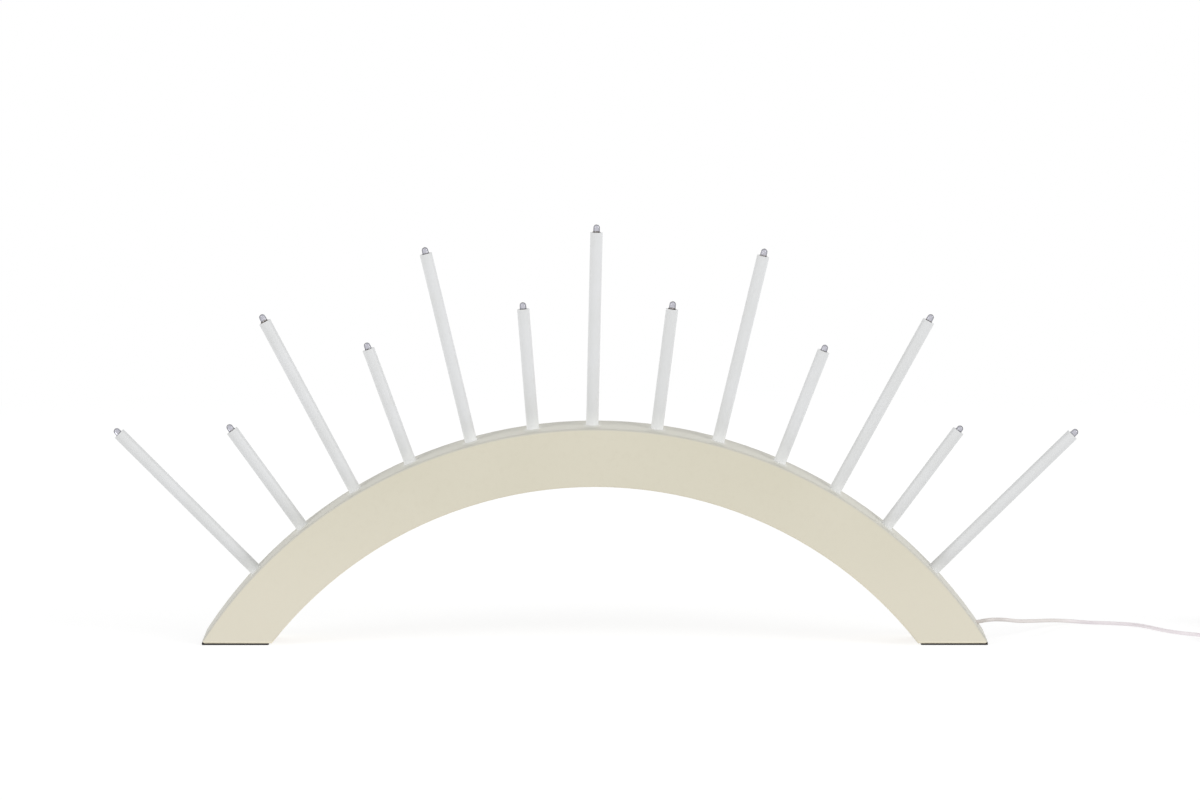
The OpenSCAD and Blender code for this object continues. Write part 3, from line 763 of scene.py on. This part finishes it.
def soft_plastic(name, light, dark, roughness):
    """Moulded or drawn plastic in two near shades, with a fine grain."""
    f = new_finish(name)
    grain = f.noise(1200, 2, 0.6)
    cloud = f.noise(80, 3)
    colour = f.tint(light, dark, cloud.rise(0.3, 0.7))
    colour = f.tint(colour, dark, 0.5 * grain.rise(0.5, 0.8))
    return f.surface(Base_Color=colour, Roughness=roughness + 0.16 * grain,
                     Normal=f.relief(grain, 0.00003, 0.5))


# The height of the seam between the power unit's shell and its plate, and how its shade fades to both sides
SEAM_Z = 20
SEAM_FADE = (0.1, 0.5)


def unit_plastic():
    """White spark-textured housing, greyer along the seam between shell and plate."""
    f = new_finish("unit_plastic")
    seam = 1 - abs(f.axes()[2] - MM * SEAM_Z).fade(0, SEAM_FADE)
    spark = f.noise(2600, 3, 0.7)
    colour = f.tint(paint(232, 231, 227), paint(222, 220, 215), f.noise(50, 3).rise(0.3, 0.7))
    colour = f.tint(colour, paint(168, 165, 158), 0.7 * seam)
    return f.surface(Base_Color=colour, Roughness=0.5 + 0.2 * spark, Normal=f.relief(spark, 0.00006, 0.6))


# Where the lead's painted shade by the foot fades, from the middle of the arch
FOOT_SHADE_FADE = (338, 372)


def lead_jacket():
    """Drawn vinyl with a pink cast: greyer by the foot with painted shade, lighter further along."""
    f = new_finish("lead_jacket")
    foot_shade = 1 - f.axes()[0].fade(0, FOOT_SHADE_FADE)
    grain = f.noise(1200, 2, 0.6)
    colour = f.tint(paint(246, 239, 242), paint(241, 233, 237), f.noise(80, 3).rise(0.3, 0.7))
    # Greyer by the foot: painted shade
    colour = f.tint(colour, paint(221, 215, 212), foot_shade)
    colour = f.tint(colour, paint(226, 219, 220), 0.4 * grain.rise(0.5, 0.8))
    return f.surface(Base_Color=colour, Roughness=0.42 + 0.16 * grain, Normal=f.relief(grain, 0.00003, 0.5))


# The pitch of the ties' teeth
TOOTH_PITCH = 1.3


def tie_nylon():
    """White nylon band with fine teeth across it, counted along its way round the coil's section."""
    f = new_finish("tie_nylon")
    x, y, z = f.axes()
    along = z - ((x - MM * COIL_AT[0]) ** 2 + (y - MM * COIL_AT[1]) ** 2) ** 0.5
    turn = along * (math.tau / (MM * TOOTH_PITCH))
    teeth = turn.maths("SINE", turn) * 0.5 + 0.5
    colour = f.tint(paint(233, 231, 227), paint(226, 224, 219), teeth)
    return f.surface(Base_Color=colour, Roughness=0.4 + 0.15 * teeth, Normal=f.relief(teeth, 0.00005, 0.6))


def pin_nickel():
    """Bright nickel with fine draw lines and a little tarnish."""
    f = new_finish("pin_nickel")
    draw = f.noise(1800, 3, 0.6, (1, 1, 8))
    colour = f.tint(paint(214, 212, 205), paint(178, 172, 158), draw.rise(0.45, 0.8))
    return f.surface(Base_Color=colour, Metallic=1.0, Roughness=0.16 + 0.18 * draw,
                     Normal=f.relief(draw, 0.00001, 0.4))


def dress(material, *names):
    """Gives a material to the CAD nodes, or the pieces, of these names."""
    for name in names:
        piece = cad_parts.get(name) or bpy.data.objects[name]
        if not piece.data.materials:
            piece.data.materials.append(None)
        for slot in piece.material_slots:
            slot.material = material


numbers = [f"{k:02d}" for k in range(1, len(DIODE_HEIGHTS) + 1)]
dress(cream_lacquer(), "arch" if arch else "arch_body")
dress(tube_plastic(), *[f"candle_tube_{n}" for n in numbers])
dress(clear_epoxy(), *[f"diode_body_{n}" for n in numbers])
dress(lead_frame_metal(), *[f"diode_frame_{n}" for n in numbers])
dress(phosphor(), *[f"diode_phosphor_{n}" for n in numbers])
dress(collar_plastic(), *[f"led_holder_{n}" for n in numbers])
dress(pad_rubber(), "foot_pad_left", "foot_pad_right")
dress(fibreboard(), "channel_cover")
dress(screw_zinc(), "cover_screws")
dress(soft_plastic("wire_insulation", paint(217, 207, 196), paint(200, 189, 178), 0.5), "wire_loom")
dress(soft_plastic("shrink_sleeve", paint(46, 46, 48), paint(32, 32, 34), 0.55), "splice_sleeve")
dress(soft_plastic("bush_plastic", paint(214, 206, 188), paint(203, 195, 176), 0.45), "cord_bush")
dress(lead_jacket(), "lead", "lead_tail")
dress(unit_plastic(), "lead_relief", "adapter_case", "adapter_plate")
dress(tie_nylon(), "cord_ties")
dress(pin_nickel(), "adapter_pins")


# Studio: a plain pale floor, a white surround and soft lamps, in metres
FLOOR_R = 15
FLOOR_SIDES = 64
# The floor lies this much under the table level, so that it doesn't share a plane with the pads
FLOOR_DROP = 0.0002
AMBIENT = 0.4
# Each lamp by its bearing from the front, its height in degrees, its distance, its size and its power
LAMPS = {
    "left_lamp": (-58, 26, 4.5, 2.6, 86),
    "right_lamp": (60, 26, 4.5, 2.6, 100),
    "back_lamp": (172, 24, 4.5, 2.6, 64),
}
# The floor's diffuse share near the object, how far out it ends, and how bright it is where no shadow falls
FLOOR_SHARE = 0.35
SHARE_ENDS = (0.7, 1.6)
FLOOR_LIT = 0.72
# How bright the floor is for the light that it gives back to the object
FLOOR_BACK = 0.82


def seen_share(finish):
    """1 for what the camera sees straight, in a mirror or through glass."""
    rays = ["Is Camera Ray", "Is Glossy Ray", "Is Transmission Ray"]
    seen = [finish.node("ShaderNodeLightPath", output=name) for name in rays]
    return seen[0].maths("MAXIMUM", seen[0], seen[1].maths("MAXIMUM", seen[1], seen[2]))


def white_surround():
    world = bpy.data.worlds.new("surround")
    bpy.context.scene.world = world
    f = Finish(world)
    strength = AMBIENT + (1 - AMBIENT) * seen_share(f)
    f.output(f.node("ShaderNodeBackground", sockets={"Color": (1, 1, 1, 1), "Strength": strength}))


def pale_floor():
    """White to the camera, with the object's shadow kept in a thin diffuse share."""
    f = new_finish("pale_floor")
    x, y, _ = f.axes()
    share = FLOOR_SHARE * (1 - ((x * x + y * y) ** 0.5).rise(*SHARE_ENDS))
    cloth = f.node("ShaderNodeBsdfDiffuse", sockets={"Color": (0.9, 0.9, 0.9, 1)})
    near_white = (1 - FLOOR_SHARE * FLOOR_LIT) / (1 - FLOOR_SHARE)
    seen = seen_share(f)
    strength = FLOOR_BACK + seen * (1 - FLOOR_BACK + (near_white - 1) / FLOOR_SHARE * share)
    white = f.node("ShaderNodeEmission", sockets={"Color": (1, 1, 1, 1), "Strength": strength})
    f.output(f.node("ShaderNodeMixShader", sockets={0: 1 - seen * share, 1: cloth, 2: white}))
    # So wide and even a glow comes out smoother when only bounced light finds it
    f.owner.cycles.emission_sampling = "NONE"
    turns = [math.tau * k / FLOOR_SIDES for k in range(FLOOR_SIDES)]
    corners = [(FLOOR_R * math.cos(turn), FLOOR_R * math.sin(turn), 0) for turn in turns]
    mesh = bpy.data.meshes.new("floor")
    mesh.from_pydata(corners, [], [tuple(range(FLOOR_SIDES))])
    mesh.materials.append(f.owner)
    floor = bpy.data.objects.new("floor", mesh)
    floor.location.z = -FLOOR_DROP
    bpy.context.scene.collection.objects.link(floor)


def soft_lamp(name, bearing, rise, distance, size, power):
    lamp = bpy.data.lights.new(name, "AREA")
    lamp.size, lamp.energy = size, power
    bearing, rise = math.radians(bearing), math.radians(rise)
    way = Vector((math.sin(bearing) * math.cos(rise), -math.cos(bearing) * math.cos(rise), math.sin(rise)))
    holder = bpy.data.objects.new(name, lamp)
    holder.location = distance * way
    # A lamp behind the object lights it, but doesn't glare in the rim
    holder.visible_glossy = way.y < 0
    holder.rotation_euler = (-way).to_track_quat("-Z", "Y").to_euler()
    bpy.context.scene.collection.objects.link(holder)


white_surround()
pale_floor()
for lamp_name, lamp_sizes in LAMPS.items():
    soft_lamp(lamp_name, *lamp_sizes)
bpy.context.scene.view_settings.view_transform = "Standard"
